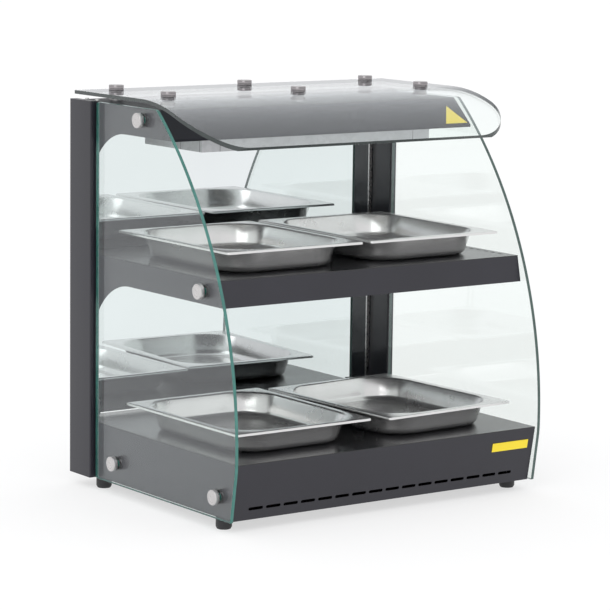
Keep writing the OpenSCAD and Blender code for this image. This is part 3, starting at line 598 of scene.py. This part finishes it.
def pan_loop(inset, radius, z):
    """Points of a rounded rectangle, counter-clockwise, in a pan's own frame."""
    points = []
    near = inset + radius
    right = PAN_WIDTH - inset - radius
    rear = PAN_LENGTH - inset - radius
    for x, y, start in ((right, near, -90), (right, rear, 0), (near, rear, 90), (near, near, 180)):
        for i in range(PAN_CORNER_STEPS + 1):
            a = math.radians(start + 90 * i / PAN_CORNER_STEPS)
            points.append(Vector((x + radius * math.cos(a), y + radius * math.sin(a), z)))
    return points


def pan_section(height):
    """Section of a pan as (inset, corner radius, height): the bowl, the rim and the underside."""
    wall = 0.8 * MM
    fillet = 14 * MM
    fillet_steps = 6
    rim, taper = 12 * MM, 9 * MM
    bowl_r, floor_r = 66 * MM, 60 * MM
    inner = []
    for i in range(fillet_steps + 1):
        a = math.radians(90 * i / fillet_steps)
        inset = fillet * (1 - math.sin(a))
        inner.append((rim + taper + inset, floor_r - inset, wall + fillet * (1 - math.cos(a))))
    top = height
    inner += [(rim + 1.6 * MM, bowl_r, top - 2.4 * MM), (rim + 0.9 * MM, bowl_r, top - 1.0 * MM),
              (rim - 0.4 * MM, bowl_r, top - 0.25 * MM), (rim - 2.2 * MM, bowl_r, top)]
    lip = [(1.6 * MM, 4 * MM, top), (0.5 * MM, 4 * MM, top - 0.4 * MM), (0, 4 * MM, top - 1.4 * MM),
           (0, 4 * MM, top - 4 * MM), (0.8 * MM, 3.4 * MM, top - 4 * MM),
           (0.9 * MM, 3.2 * MM, top - 1.2 * MM), (2 * MM, 3 * MM, top - wall)]
    under = [(i - wall, r + wall, max(0, z - wall)) for i, r, z in reversed(inner[:-1])]
    return inner + lip + under


def make_pan(node, place, turn):
    """A pressed pan with a turned-down rim, lofted through rounded rectangles."""
    low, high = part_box(node)
    bm = bmesh.new()
    matrix = Matrix.Translation(place) @ Matrix.Rotation(turn, 4, "Z")
    loops = []
    for inset, radius, z in pan_section(high.z - low.z):
        loops.append([bm.verts.new(matrix @ p) for p in pan_loop(inset, radius, z)])
    skin(bm, loops)
    mesh = mesh_from(bm, node + "_pressed", 50)
    linked(node + "_pressed", mesh, ["pan_steel"], body_of(node), [node])


def make_pans():
    for node in ("upper_left_pan", "upper_right_pan", "lower_left_pan"):
        low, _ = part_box(node)
        make_pan(node, low, 0)
    low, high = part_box("lower_right_pan")
    turn = LOWER_RIGHT_PAN_TURN
    make_pan("lower_right_pan", Vector((high.x - PAN_WIDTH * math.cos(turn), low.y, low.z)), turn)


# ---- Standoffs ----

TOP_PLACES = [(x, y) for y in (22 * MM, 180 * MM) for x in (-257 * MM, 0, 257 * MM)]
SIDE_PLACES = [(23 * MM, 628 * MM), (-156 * MM, 374 * MM), (98 * MM, 54 * MM), (-203 * MM, 54 * MM)]


CAP_RADIUS = 12.5 * MM
SIDE_CAP_HEIGHT = 8 * MM


def cap_profile(height):
    """Turned cap with a chamfered face and a fine groove above its foot."""
    r = CAP_RADIUS
    return [(0, 0), (r - 0.5 * MM, 0), (r, 0.5 * MM), (r, 2.6 * MM), (r - 0.35 * MM, 2.8 * MM),
            (r - 0.35 * MM, 3.2 * MM), (r, 3.4 * MM), (r, height - 0.9 * MM),
            (r - 0.35 * MM, height - 0.35 * MM), (r - 1.0 * MM, height - 0.05 * MM),
            (r - 1.6 * MM, height), (r * 0.5, height), (0, height)]


def make_standoffs():
    low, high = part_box("top_glass_caps")
    tops = [(x, y, low.z) for x, y in TOP_PLACES]
    # The top caps take the steel with painted reflection bands.
    turned("top_glass_caps_turned", "top_glass_caps", tops, (0, 0, 1), cap_profile(high.z - low.z),
           materials=["cap_steel_painted_reflection"])
    low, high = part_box("side_glass_caps")
    height = SIDE_CAP_HEIGHT
    for side, name in ((-1, "left"), (1, "right")):
        foot_x = low.x + height if side < 0 else high.x - height
        places = [(foot_x, y, z) for y, z in SIDE_PLACES]
        turned(f"{name}_glass_caps_turned", "side_glass_caps", places, (side, 0, 0),
               cap_profile(height))
    refined("top_glass_spacers", 0.3 * MM, 2)
    refined("side_glass_spacers", 0.3 * MM, 2)
    refined("top_glass_gaskets", 0.2 * MM, 2)
    refined("side_glass_gaskets", 0.2 * MM, 2)


# ---- Rear door and controls ----

def make_door():
    refined("door_mirror", 1.4 * MM, 2, ["mirror_pane", "glass_edge", "mirror_back"],
            lambda n: 0 if n.y < -0.9 else 2 if n.y > 0.9 else 1)
    refined("door_shoes", 0.6 * MM, 3)
    refined("door_handle", 0.6 * MM, 3)
    refined("door_edge_channel", 0.3 * MM, 2)
    refined("door_catch", 0.8 * MM, 3)
    refined("door_bushes", 0.2 * MM, 2)


KNOB_X, KNOB_Z = 210 * MM, 66 * MM
FLUTES = 24
KNOB_STEPS = 192
DIAL_MARKS = 10


def fluted_loop(bm, radius, depth, y):
    """A ring of points around the knob's axis, with shallow flutes of one depth."""
    ring = []
    for i in range(KNOB_STEPS):
        a = math.tau * i / KNOB_STEPS
        r = radius - depth * (0.5 + 0.5 * math.cos(FLUTES * a))
        ring.append(bm.verts.new((KNOB_X + r * math.cos(a), y, KNOB_Z + r * math.sin(a))))
    return ring


def make_knob():
    """The thermostat knob: a shaft, a round skirt, a fluted grip and a white pointer."""
    low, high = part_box("thermostat_knob")
    # Rows of radius, depth of the flutes, and Y
    skirt_y, top_y = high.y - 15.5 * MM, high.y - 0.5 * MM
    sections = [(3 * MM, 0, low.y), (3 * MM, 0, skirt_y), (19.4 * MM, 0, skirt_y),
                (20 * MM, 0, skirt_y + 0.6 * MM), (20 * MM, 0, skirt_y + 2.2 * MM),
                (19.2 * MM, 0, skirt_y + 3 * MM), (15.4 * MM, 0.2 * MM, skirt_y + 3.1 * MM),
                (15 * MM, 1.1 * MM, skirt_y + 4 * MM), (14.8 * MM, 1.1 * MM, top_y - 1.2 * MM),
                (14.3 * MM, 0.6 * MM, top_y - 0.3 * MM), (13.4 * MM, 0, top_y)]
    bm = bmesh.new()
    skin(bm, [fluted_loop(bm, *section) for section in sections])
    mesh = mesh_from(bm, "knob_moulded", 50)
    linked("knob_moulded", mesh, ["black_plastic"], body_of("thermostat_knob"),
           ["thermostat_knob"])
    pointer = ((KNOB_X - 0.9 * MM, top_y - 0.1 * MM, KNOB_Z + 3 * MM),
               (KNOB_X + 0.9 * MM, high.y, KNOB_Z + 12.5 * MM))
    blocks("knob_pointer", "thermostat_knob", [pointer], "print_white")


def make_dial_marks():
    """Ticks on the rear panel around the knob, over the 270 degrees that it turns."""
    _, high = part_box("base_rear_panel")
    bm = bmesh.new()
    inner, outer, half, proud = 22.5 * MM, 25.5 * MM, 0.45 * MM, 0.12 * MM
    for i in range(DIAL_MARKS):
        turn = Matrix.Rotation(math.radians(270 * i / (DIAL_MARKS - 1)), 3, "Y")
        points = []
        for y in (high.y - 0.05 * MM, high.y + proud):
            for x, z in ((-half, inner), (half, inner), (half, outer), (-half, outer)):
                spot = turn @ Vector((x, 0, z))
                points.append((KNOB_X + spot.x, y, KNOB_Z + spot.z))
        add_box(bm, points)
    linked("dial_marks", mesh_from(bm, "dial_marks"), ["print_white"], body_of("base_rear_panel"))


def make_controls():
    for node in ("switch_housings", "power_inlet"):
        refined(node, 0.5 * MM, 3)
    for node in ("power_rocker", "light_rocker"):
        refined(node, 0.6 * MM, 3)
    refined("indicator_lamp", 0.8 * MM, 3)
    make_knob()
    make_dial_marks()


def make_trim():
    refined("front_plate", 0.3 * MM, 2)
    refined("plain_triangle", 0.25 * MM, 2)
    refined("feet", 0.8 * MM, 3)
    refined("panel_screws", 0.5 * MM, 2)


# ---- What stays as the CAD made it ----

def paint_the_rest():
    """Gives every CAD node that still shows its slot's finish."""
    for name, node in NODES.items():
        if not node.hide_render:
            for material_slot in node.material_slots:
                material_slot.material = MATERIALS[SLOT_OF[name]]


make_camera()
make_studio()
make_steel()
make_lamp_seams()
make_glass()
make_pans()
make_standoffs()
make_door()
make_controls()
make_trim()
paint_the_rest()
